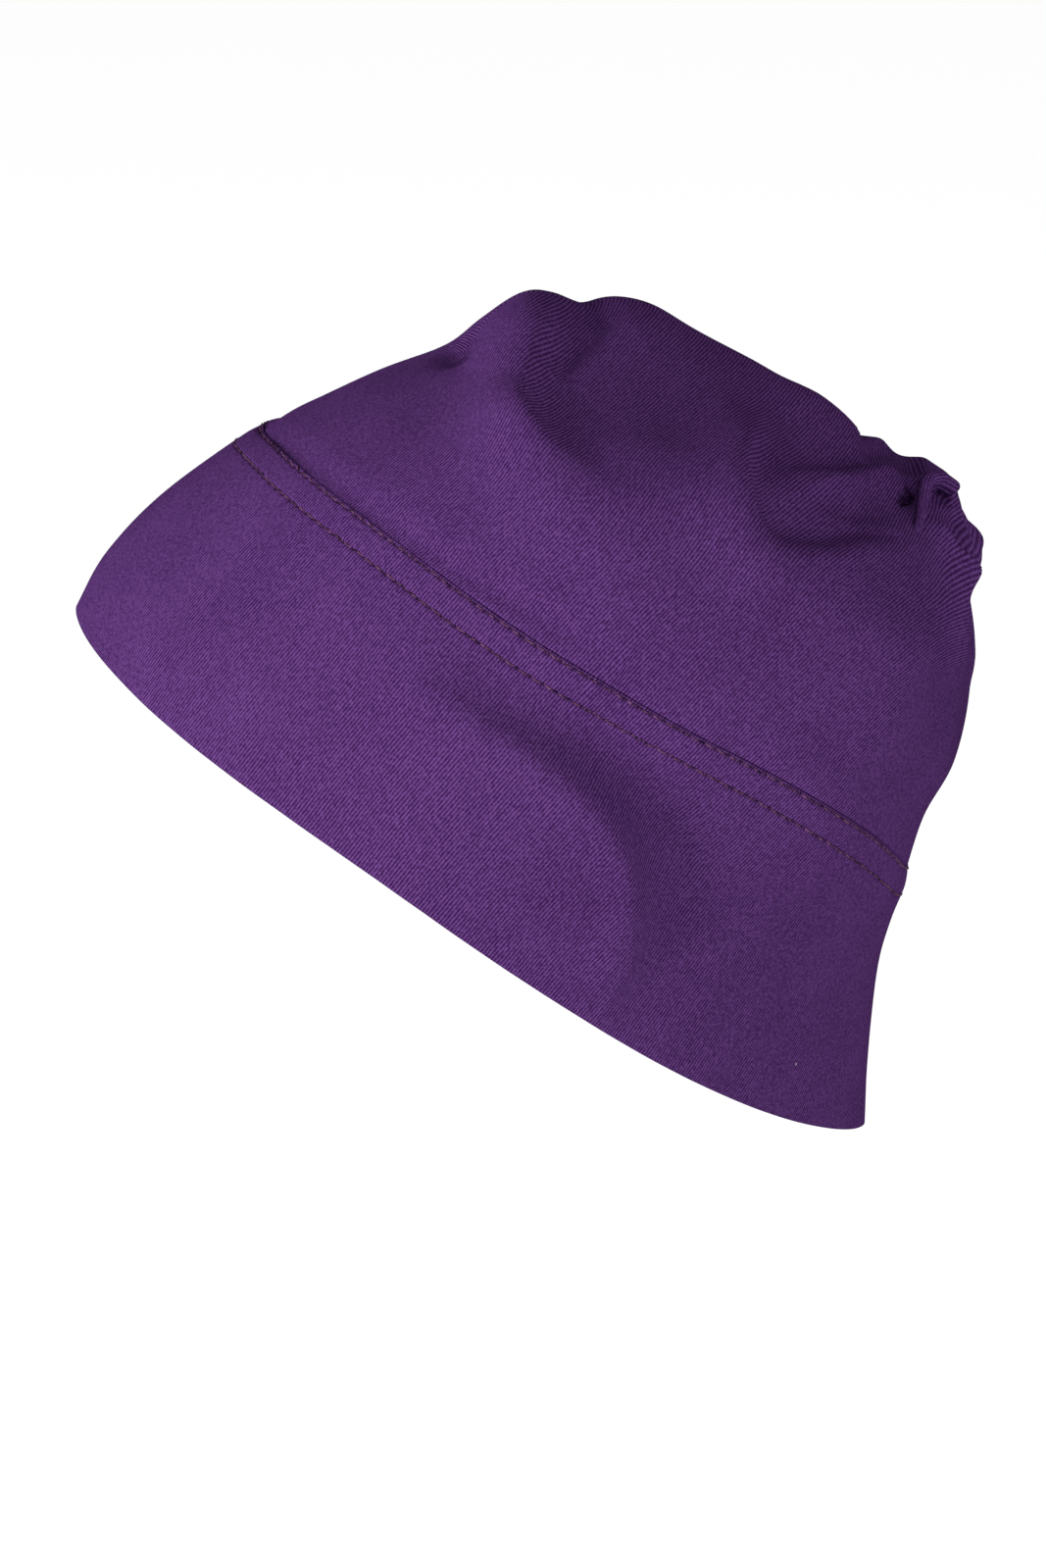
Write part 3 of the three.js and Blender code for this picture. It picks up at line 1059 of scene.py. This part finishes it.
@dataclass(frozen=True)
class SeamLine:
    """Where the stitches lie: lengths down the band from its top edge, and round it."""

    form: CapForm
    stitch: float = 3.2
    upper_row: float = 0.7
    lower_row: float = 7.0
    levels: int = 91
    turns: int = 721

    @cached_property
    def turn_table(self) -> Array:
        """Even angles round the cap, the last the same place as the first."""
        return np.linspace(0, FULL_TURN, self.turns)

    @cached_property
    def level_table(self) -> Array:
        """Even heights from the rim to the seam."""
        return np.linspace(0, SEAM, self.levels)

    @cached_property
    def drop_table(self) -> Array:
        """Lengths down from the seam for each height and angle of the tables."""
        up = self.form.lengths_up(self.turn_table, self.level_table)
        return up[-1] - up

    @cached_property
    def round_table(self) -> Array:
        """Lengths round the seam for each angle of the table."""
        return lengths_along(self.form.plain(self.turn_table, np.full(self.turns, float(SEAM))))

    @property
    def stitches(self) -> int:
        """How many stitches go round."""
        return round(self.round_table[-1] / self.stitch)

    def angles(self, counts: Array) -> Array:
        """The angle after a number of stitches.

        Args:
            counts: Stitches from the front, whole or not.

        Returns:
            Radians from the forehead.
        """
        share = np.asarray(counts, float) / self.stitches
        return np.interp(share * self.round_table[-1], self.round_table, self.turn_table)

    def heights(self, angles: Array, drops: Array) -> Array:
        """The height at lengths down from the seam.

        Args:
            angles: Radians from the forehead.
            drops: Millimetres down from the seam, with one column for each angle.

        Returns:
            The height in sections, in the shape of drops.
        """
        column = np.mod(angles, FULL_TURN) / FULL_TURN * (self.turns - 1)
        left = np.minimum(column.astype(int), self.turns - 2)
        part = column - left
        result = np.empty(drops.shape)
        for i, (c, share) in enumerate(zip(left, part)):
            table = self.drop_table[:, c] * (1 - share) + self.drop_table[:, c + 1] * share
            result[..., i] = np.interp(drops[..., i], table[::-1], self.level_table[::-1])
        return result

    def length(self, angles: Array) -> Array:
        """Millimetres down from the seam to the rim at each angle."""
        return np.interp(np.mod(angles, FULL_TURN), self.turn_table, self.drop_table[0])


@dataclass
class Band:
    """The strip round the head: two layers of jersey, folded at the rim."""

    form: CapForm
    seam: SeamLine
    knit: Knit
    cloth: Jersey
    wall: float = 1.6
    edge_radius: float = 0.3
    rim_drop: float = 0.4
    rim_height: float = 0.045
    steps_per_stitch: int = 6
    coarse_rows: int = 24
    inner_rows: int = 12
    row_groove: float = 0.2
    row_groove_width: float = 0.38
    hole_depth: float = 0.8
    hole_sharpness: int = 3
    swell: float = 0.05
    swell_reach: float = 2.4
    flat_width: float = 0.062
    flat_length: float = 0.5
    rim_lift: float = 0.6
    upper_drops: tuple[float, ...] = (0.32, 0.45, 0.57, 0.7, 0.83, 0.95, 1.15, 1.5)
    between_drops: tuple[float, ...] = (2.1, 2.9, 3.8, 4.8, 5.6, 6.2, 6.45, 6.6)
    lower_drops: tuple[float, ...] = (6.75, 6.87, 7.0, 7.13, 7.25, 7.45, 7.9, 8.8, 10.2)
    edge_turns: tuple[float, ...] = (20, 45, 70, 90)
    rim_turns: tuple[float, ...] = (30, 60, 90, 120, 150)

    def build(self) -> Piece:
        """Makes the band.

        Returns:
            The band as one closed shell.
        """
        count = self.seam.stitches * self.steps_per_stitch
        stitches = np.arange(count) / self.steps_per_stitch
        angles = self.seam.angles(stitches)
        outer_drops = self._outer_drops(angles)
        outer_heights = self.seam.heights(angles, outer_drops)
        outer = self.form.spread(angles[None, :], outer_heights)
        inset = self._sewn_in(outer_drops, stitches)
        outer_face = outer.point - outer.outward * inset[..., None]
        inner_heights = np.linspace(SEAM, self.rim_height, self.inner_rows)[:, None] + 0 * angles
        inner = self.form.spread(angles[None, :], inner_heights)
        inner_face = inner.point - inner.outward * self.wall
        inner_face[0] -= inner.upward[0] * self.edge_radius
        top = self._turned_edge(angles)
        rim = self._rim_fold(angles)
        rings = np.concatenate([outer_face, top[0], inner_face, rim[0]])
        heights = np.concatenate([outer_heights, top[1], inner_heights, rim[1]])
        marks = self.knit.coordinates(angles[None, :] + 0 * heights, heights)
        piece = Shell(rings, marks, self.cloth.uv_name).build("Band", self.cloth.material())
        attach(piece, "root")
        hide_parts("band")
        return piece

    def _outer_drops(self, angles: Array) -> Array:
        """Lengths down from the seam for the outer face's rows, closest at the stitches.

        Args:
            angles: Radians from the forehead.

        Returns:
            Rows of lengths from the rim up, with a column for each angle.
        """
        fine = np.array(self.upper_drops + self.between_drops + self.lower_drops)
        length = self.seam.length(angles) - self.rim_lift
        shares = np.linspace(0, 1, self.coarse_rows + 1)[1:, None]
        coarse = fine[-1] + shares * (length - fine[-1])
        drops = np.vstack([fine[:, None] + 0 * angles, coarse])
        return drops[::-1]

    def _sewn_in(self, drops: Array, stitches: Array) -> Array:
        """How far the sewing draws the cloth in, deepest at the needle holes.

        Args:
            drops: Lengths down from the seam, with a column for each place round it.
            stitches: How many stitches along each column is.

        Returns:
            Millimetres inward, in the shape of drops.
        """
        inset = np.zeros(drops.shape)
        for row in (self.seam.upper_row, self.seam.lower_row):
            away = (drops - row) / self.row_groove_width
            hole = (0.5 + 0.5 * np.cos(FULL_TURN * stitches)) ** self.hole_sharpness
            inset += np.exp(-(away**2)) * (self.row_groove + self.hole_depth * hole)
        middle = (self.seam.upper_row + self.seam.lower_row) / 2
        return inset - self.swell * np.exp(-(((drops - middle) / self.swell_reach) ** 2))

    def _turned_edge(self, angles: Array) -> tuple[Array, Array]:
        """The rounded top edge, from the outer face over to the inner one.

        Args:
            angles: Radians from the forehead.

        Returns:
            Rings of points and the height of each point.
        """
        edge = self.form.spread(angles[None, :], np.full((1, len(angles)), float(SEAM)))
        rings = []
        turns = [(1 - np.cos(turn), np.sin(turn) - 1) for turn in np.radians(self.edge_turns)]
        outward_side = [(self.edge_radius * a, self.edge_radius * b) for a, b in turns]
        inward_side = [(self.wall - inset, lift) for inset, lift in reversed(outward_side)]
        for inset, lift in outward_side + inward_side:
            rings.append(edge.point - edge.outward * inset + edge.upward * lift)
        return np.concatenate(rings), np.full((len(rings), len(angles)), float(SEAM))

    def _rim_fold(self, angles: Array) -> tuple[Array, Array]:
        """The soft fold at the rim, from the inner face round to the outer one.

        Args:
            angles: Radians from the forehead.

        Returns:
            Rings of points and the height of each point.
        """
        rim = self.form.spread(angles[None, :], np.full((1, len(angles)), self.rim_height))
        rings = []
        for turn in np.radians(self.rim_turns):
            inset = self.wall / 2 * (1 + math.cos(turn))
            drop = self.rim_drop * math.sin(turn)
            rings.append(rim.point - rim.outward * inset - rim.upward * drop)
        return np.concatenate(rings), np.full((len(rings), len(angles)), self.rim_height)


@dataclass(frozen=True)
class Pleat:
    """A small rolled fold of the crown's cloth at the gather.

    Its path gives degrees round from the forehead, height in sections, and how far its middle
    stands off the cap in millimetres. Its upper half rises above that middle, and its root
    goes down into the crown and away from the side that is seen.
    """

    name: str
    path: tuple[tuple[float, float, float], ...]
    width: float
    rise: float
    root: float
    samples: int = 60
    sides: int = 24
    end_share: float = 0.02
    end_roundness: float = 0.4

    def build(self, form: CapForm, cloth: Jersey, knit: Knit) -> Piece:
        """Makes the pleat.

        Args:
            form: The face that it lies on.
            cloth: What it is made of.
            knit: How fine the cloth's ribs are.

        Returns:
            The pleat as one closed mesh.
        """
        stations = curve_through(np.array(self.path, float), self.samples)
        spread = form.spread(np.radians(stations[:, 0]), stations[:, 1])
        centre = spread.point + spread.outward * stations[:, 2:]
        stride = unit(np.gradient(centre, axis=0))
        beside = unit(np.cross(stride, spread.outward))
        above = np.cross(beside, stride)
        turns = np.arange(self.sides) * FULL_TURN / self.sides
        shares = np.linspace(self.end_share, 1 - self.end_share, self.samples)
        ends = np.sin(math.pi * shares)[:, None, None] ** self.end_roundness
        rooted = unit(spread.outward + SIDE.axes[2])
        upper = self.rise * np.maximum(np.sin(turns), 0)[:, None] * above[:, None, :]
        lower = self.root * np.minimum(np.sin(turns), 0)[:, None] * rooted[:, None, :]
        oval = self.width / 2 * np.cos(turns)[:, None] * beside[:, None, :] + upper + lower
        rings = centre[:, None, :] + oval * ends
        length = lengths_along(centre)
        girth = np.linspace(0, math.pi * (self.width / 2 + self.rise), self.sides + 1)[:-1]
        ribs, courses = np.meshgrid(girth / knit.rib_pitch, length / knit.course_pitch)
        marks = np.stack([ribs, courses], axis=-1)
        shell = Shell(rings, marks, cloth.uv_name, (centre[0], centre[-1]))
        return shell.build(self.name, cloth.material())


PLEATS = (
    Pleat(
        name="GatherPleatLeft",
        path=(
            (183, 8.1, -2.2),
            (176, 8.14, -0.2),
            (169, 8.16, 1.3),
            (159, 8.28, 2.6),
            (150, 8.27, 2.9),
            (145, 8.07, 2.2),
            (141.5, 7.88, 1.2),
            (139, 7.7, -1),
        ),
        width=2.8,
        rise=1.5,
        root=4.5,
    ),
)


@dataclass
class Crown:
    """The slack top of the cap, its lower edge sewn in behind the band.

    The pleats lie on a form of their own, without the finest folds. Each ring of the crown is
    a height in sections, a depth below the face and a lift along it, both in millimetres.
    Rows give the height where a stretch of rings ends and how many rings it has.
    """

    form: CapForm
    pleat_form: CapForm
    knit: Knit
    cloth: Jersey
    columns: int = 480
    closer_at_back: float = 0.3
    wall: float = 1.2
    tucked: float = 1.9
    step: float = 0.06
    hem_depth: float = 0.25
    hem_drop: float = 0.3
    tuck_start: float = SEAM - SEAM / 7
    tuck_row: float = 0.2
    turn_out: tuple[tuple[float, float], ...] = (
        (1.9, -0.8), (1.7, -0.4), (1.2, -0.08), (0.6, 0.05), (0.28, 0.25), (0.15, 0.6),
    )
    level_out: tuple[tuple[float, float], ...] = ((0.12, 0.1), (0.22, 0.07))
    clear_of_seam: float = SEAM + 0.34
    outer_rows: tuple[tuple[float, int], ...] = ((6.6, 36), (9.2, 74), (9.97, 9))
    inner_top: float = 9.95
    inner_rows: tuple[tuple[float, int], ...] = ((9.0, 7), (6.6, 34), (clear_of_seam, 16))
    foot_height: float = 0.1
    foot_depth: float = 0.5
    flat_width: float = 0.14
    flat_length: float = 0.49
    flat_area: float = 0.05
    pleats: tuple[Pleat, ...] = PLEATS

    def build(self) -> list[Piece]:
        """Makes the crown and its pleats.

        Returns:
            The crown as one closed shell, and each pleat.
        """
        even = np.arange(self.columns) * FULL_TURN / self.columns
        angles = even + self.closer_at_back * np.sin(even)
        stations = np.array(self._inner_stations() + self._outer_stations())
        heights = stations[:, 0][:, None] + 0 * angles
        spread = self.form.spread(angles[None, :], heights)
        inset, lift = stations[:, 1, None, None], stations[:, 2, None, None]
        rings = spread.point - spread.outward * inset + spread.upward * lift
        marks = self.knit.coordinates(angles[None, :] + 0 * heights, heights)
        apex = self.form.spread(np.zeros(1), np.full(1, float(APEX)))
        inner_pole, outer_pole = (
            (apex.point - apex.outward * depth)[0] for depth in (self.step + self.wall, self.step)
        )
        shell = Shell(rings, marks, self.cloth.uv_name, (inner_pole, outer_pole))
        piece = shell.build("Crown", self.cloth.material())
        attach(piece, "root")
        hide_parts("crown")
        pleats = [pleat.build(self.pleat_form, self.cloth, self.knit) for pleat in self.pleats]
        for pleat in pleats:
            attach(pleat, "root")
        return [piece, *pleats]

    @staticmethod
    def _levels(start: float, rows: tuple[tuple[float, int], ...]) -> list[float]:
        """The heights of rings, even within each stretch.

        Args:
            start: The first height.
            rows: The height where each stretch ends and how many rings it has.

        Returns:
            The heights, up to the last ring before the last stretch's end.
        """
        heights = []
        for end, rings in rows:
            heights.extend(np.linspace(start, end, rings, endpoint=False))
            start = end
        return heights

    def _outer_stations(self) -> list[tuple[float, float, float]]:
        """The outer rings, from the tucked edge to the apex.

        Returns:
            Height, depth and lift of each ring.
        """
        hem = [(self.tuck_start, self.tucked + self.hem_depth, -self.hem_drop)]
        behind = [(self.tuck_start + above, self.tucked, 0.0) for above in (0.0, self.tuck_row)]
        out = [(float(SEAM), depth, lift) for depth, lift in self.turn_out]
        level = [(SEAM + above, depth, 0.0) for above, depth in self.level_out]
        heights = self._levels(self.clear_of_seam, self.outer_rows)
        return hem + behind + out + level + [(height, self.step, 0.0) for height in heights]

    def _inner_stations(self) -> list[tuple[float, float, float]]:
        """The inner rings, from the apex down to the tucked edge.

        Returns:
            Height, depth and lift of each ring.
        """
        deep = self.step + self.wall
        heights = [*self._levels(self.inner_top, self.inner_rows), self.clear_of_seam]
        down = [(height, deep, 0.0) for height in heights]
        behind = self.tucked + self.wall
        foot = [(SEAM + self.foot_height, deep + self.foot_depth, 0.0), (float(SEAM), behind, 0.0)]
        hem = (self.tuck_start, behind - self.hem_depth, -self.hem_drop)
        return down + foot + [(self.tuck_start, behind, 0.0), hem]


@dataclass
class Sewing:
    """The two rows of stitches on the band, and the looper thread behind them."""

    form: CapForm
    seam: SeamLine
    thread: Thread
    radius: float = 0.17
    samples: int = 11
    sides: int = 8
    lift: float = 0.05
    sunk: float = 1.0
    wander: float = 0.1
    sag: float = 0.04
    slack: float = 0.05
    end_width: float = 0.75
    seed: int = 21
    twists: float = 2.5
    looper_depth: float = 3.3
    looper_sway: float = 0.12
    looper_radius: float = 0.15
    looper_samples: int = 12

    def build(self) -> list[Piece]:
        """Makes the two rows and the looper thread.

        Returns:
            The upper row, the lower row and the looper thread.
        """
        material = self.thread.material()
        draw = np.random.default_rng(self.seed)
        rows = (("StitchRowUpper", self.seam.upper_row), ("StitchRowLower", self.seam.lower_row))
        pieces = [self._row(name, drop, draw, material) for name, drop in rows]
        pieces.append(self._looper(material))
        for piece in pieces:
            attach(piece, "root")
        return pieces

    def _row(
        self, name: str, drop: float, draw: np.random.Generator, material: Material
    ) -> Piece:
        """One row of stitches.

        Args:
            name: The piece's name.
            drop: Millimetres down from the band's top edge.
            draw: The source of small irregularities.
            material: The thread.

        Returns:
            The row as one mesh.
        """
        count = self.seam.stitches
        part = np.linspace(0, 1, self.samples)
        places = np.arange(count)[:, None] + part
        aside = draw.uniform(-self.wander, self.wander, (count, 2))
        drops = drop + aside[:, :1] * (1 - part) + aside[:, 1:] * part
        bow = np.sin(math.pi * part)
        heights = -self.sunk + (self.sunk + self.lift) * bow
        heights = heights + draw.uniform(-self.sag, self.slack, (count, 1)) * bow
        centre, outward = self._on_band(places, drops, -heights)
        radius = self.radius * (self.end_width + (1 - self.end_width) * bow) + 0 * heights
        return self._tubes(name, centre, outward, radius, places, material)

    def _on_band(self, places: Array, drops: Array, depth: Array) -> tuple[Array, Array]:
        """Points a depth below the band's face.

        Args:
            places: Stitches from the front.
            drops: Millimetres down from the band's top edge.
            depth: Millimetres below the face, or above it where negative.

        Returns:
            The points and the outward direction at each.
        """
        angles = self.seam.angles(np.mod(places.ravel(), self.seam.stitches))
        heights = self.seam.heights(angles, drops.ravel()[None, :] + 0 * angles)[0]
        spread = self.form.spread(angles, heights)
        shape = (*places.shape, 3)
        outward = spread.outward.reshape(shape)
        return spread.point.reshape(shape) - outward * depth[..., None], outward

    def _looper(self, material: Material) -> Piece:
        """The looper thread, to and fro between the rows on the inside.

        Args:
            material: The thread.

        Returns:
            The thread as one closed mesh.
        """
        count = self.seam.stitches * self.looper_samples
        places = (np.arange(count) / self.looper_samples)[None, :]
        swing = 0.5 - 0.5 * np.cos(FULL_TURN * places)
        drops = self.seam.upper_row + (self.seam.lower_row - self.seam.upper_row) * swing
        depth = self.looper_depth + self.looper_sway * np.cos(2 * FULL_TURN * places)
        centre, outward = self._on_band(places, drops, depth)
        radius = np.full(places.shape, self.looper_radius)
        return self._tubes("LooperThread", centre, outward, radius, places, material, closed=True)

    def _tubes(
        self,
        name: str,
        centre: Array,
        outward: Array,
        radius: Array,
        places: Array,
        material: Material,
        closed: bool = False,
    ) -> Piece:
        """Round tubes along rows of points.

        Args:
            name: The piece's name.
            centre: Points along each tube.
            outward: A direction beside each tube's own.
            radius: The tube's radius at each point.
            places: How many stitches along each point is.
            material: The thread.
            closed: True where each tube joins its own start.

        Returns:
            All the tubes as one mesh.
        """
        if closed:
            along = np.roll(centre, -1, axis=1) - np.roll(centre, 1, axis=1)
        else:
            along = np.gradient(centre, axis=1)
        beside = unit(np.cross(along, outward))
        above = unit(np.cross(beside, along))
        turns = np.arange(self.sides) * FULL_TURN / self.sides
        circle = np.cos(turns)[:, None] * beside[..., None, :]
        circle = circle + np.sin(turns)[:, None] * above[..., None, :]
        points = centre[..., None, :] + circle * radius[..., None, None]
        tubes, samples = centre.shape[:2]
        index = np.arange(tubes * samples * self.sides).reshape(tubes, samples, self.sides)
        after = np.roll(index, -1, axis=2)
        if closed:
            ahead, ahead_after = np.roll(index, -1, axis=1), np.roll(after, -1, axis=1)
            corners = (index, after, ahead_after, ahead)
        else:
            corners = (index[:, :-1], after[:, :-1], after[:, 1:], index[:, 1:])
        faces = np.stack(corners, axis=-1).reshape(-1, 4).tolist()
        if not closed:
            faces += index[:, 0, ::-1].tolist() + index[:, -1].tolist()
        share = np.broadcast_to(turns / FULL_TURN, index.shape)
        twist = np.broadcast_to(places[..., None] * self.twists, index.shape)
        marks = np.stack([share, twist], axis=-1).reshape(-1, 2)
        points = points.reshape(-1, 3) * MM
        return make_mesh(name, points, faces, marks, self.thread.uv_name, material)


def looking(at: Array, facing: Array) -> Matrix:
    """The placement of a light or camera that looks against a direction.

    Args:
        at: Its place in metres.
        facing: The direction from what it looks at to itself.

    Returns:
        The matrix that places it.
    """
    across = unit(np.cross([0.0, 0.0, 1.0], facing))
    up = np.cross(facing, across)
    columns = np.column_stack([across, up, facing, at])
    return Matrix([*columns.tolist(), [0.0, 0.0, 0.0, 1.0]])


@dataclass(frozen=True)
class Lamp:
    """A soft rectangular light that faces the cap, in metres and watts."""

    name: str
    at: tuple[float, float, float]
    power: float
    size: tuple[float, float] = (1.4, 1.2)

    def build(self) -> None:
        """Makes the light."""
        lamp = bpy.data.lights.new(self.name, "AREA")
        lamp.shape = "RECTANGLE"
        lamp.size, lamp.size_y = self.size
        lamp.energy = self.power
        light = bpy.data.objects.new(self.name, lamp)
        light.matrix_world = looking(np.array(self.at), unit(np.array(self.at)))
        bpy.context.scene.collection.objects.link(light)


@dataclass
class Studio:
    """A plain pale floor, soft lights and the camera, with lengths in metres."""

    camera_view: View = View.SIDE
    distance: float = 2.2
    lens: float = 230.3
    sensor_height: float = 36.0
    aim_across: float = 0.01075
    aim_up: float = 0.0186
    floor_height: float = -0.19
    floor_size: float = 60.0
    floor_colour: Colour = (0.86, 0.86, 0.87)
    floor_roughness: float = 0.9
    floor_shine: float = 0.1
    floor_glow: float = 0.8
    glow_level: float = 0.7
    glow_above: float = 0.14
    glow_from: float = -0.4
    glow_to: float = 0.6
    lamps: tuple[Lamp, ...] = (
        Lamp("KeyLight", (1.25, -2.2, 0.15), 77.0),
        Lamp("SideLight", (2.2, 0.6, 0.7), 18.0),
        Lamp("BackLight", (1.3, 2.1, 0.3), 5.0),
    )

    def build(self) -> None:
        """Makes the floor, the lights and the camera."""
        self._floor()
        self._world()
        for lamp in self.lamps:
            lamp.build()
        self._camera()

    def _floor(self) -> None:
        """A wide pale floor."""
        half = self.floor_size / 2
        points = [(-half, -half, 0), (half, -half, 0), (half, half, 0), (-half, half, 0)]
        mesh = bpy.data.meshes.new("Floor")
        mesh.from_pydata(points, [], [(0, 1, 2, 3)])
        floor = bpy.data.objects.new("Floor", mesh)
        floor.location.z = self.floor_height
        bpy.context.scene.collection.objects.link(floor)
        material = bpy.data.materials.new("PaleFloor")
        Nodes(material).surface({
            "Base Color": (*self.floor_colour, 1.0),
            "Roughness": self.floor_roughness,
            "Specular IOR Level": self.floor_shine,
            "Emission Color": (1.0, 1.0, 1.0, 1.0),
            "Emission Strength": self.floor_glow,
        })
        mesh.materials.append(material)
        floor.visible_diffuse = False
        floor.visible_glossy = False

    def _world(self) -> None:
        """A soft light from all round, dimmer from above."""
        world = bpy.data.worlds.new("Studio")
        nodes = Nodes(world)
        height = nodes.split(nodes.add("TexCoord").outputs["Generated"])["Z"]
        change = {
            "Value": height,
            "From Min": self.glow_from,
            "From Max": self.glow_to,
            "To Min": self.glow_level,
            "To Max": self.glow_above,
        }
        glow = nodes.add("MapRange", change, clamp=True).outputs[0]
        background = nodes.add("Background", {"Color": (1.0, 1.0, 1.0, 1.0), "Strength": glow})
        nodes.add("OutputWorld", {"Surface": background.outputs[0]})
        bpy.context.scene.world = world
        bpy.context.scene.view_settings.view_transform = "Standard"

    def _camera(self) -> None:
        """A long lens level with the cap's side."""
        across, up, facing = self.camera_view.axes
        at = across * self.aim_across + up * self.aim_up + facing * self.distance
        settings = bpy.data.cameras.new("Camera")
        settings.sensor_fit = "VERTICAL"
        settings.sensor_height = self.sensor_height
        settings.lens = self.lens
        settings.dof.use_dof = False
        camera = bpy.data.objects.new("Camera", settings)
        camera.matrix_world = looking(at, facing)
        bpy.context.scene.collection.objects.link(camera)
        bpy.context.scene.camera = camera


def report(piece: Piece) -> None:
    """Logs a piece's name and how many triangles it has."""
    triangles = sum(len(face.vertices) - 2 for face in piece.data.polygons)
    log.info("%s: %d triangles", piece.name, triangles)


def main() -> None:
    """Builds the cap and its studio, and logs how many triangles each piece has."""
    logging.basicConfig(level=logging.INFO, format="%(name)s: %(message)s")
    band_form = CapForm(SECTIONS, MAIN_FORMS + FINE_FORMS)
    crown_form = CapForm(SECTIONS, MAIN_FORMS + FINE_FORMS, TUGS)
    pleat_form = CapForm(SECTIONS, MAIN_FORMS, TUGS[:1])
    knit = Knit(band_form)
    seam = SeamLine(band_form)
    report(Band(band_form, seam, knit, Jersey("BandJersey")).build())
    for piece in Crown(crown_form, pleat_form, knit, Jersey("CrownJersey")).build():
        report(piece)
    for piece in Sewing(band_form, seam, Thread("SewingThread")).build():
        report(piece)
    Studio().build()


if __name__ == "__main__":
    main()
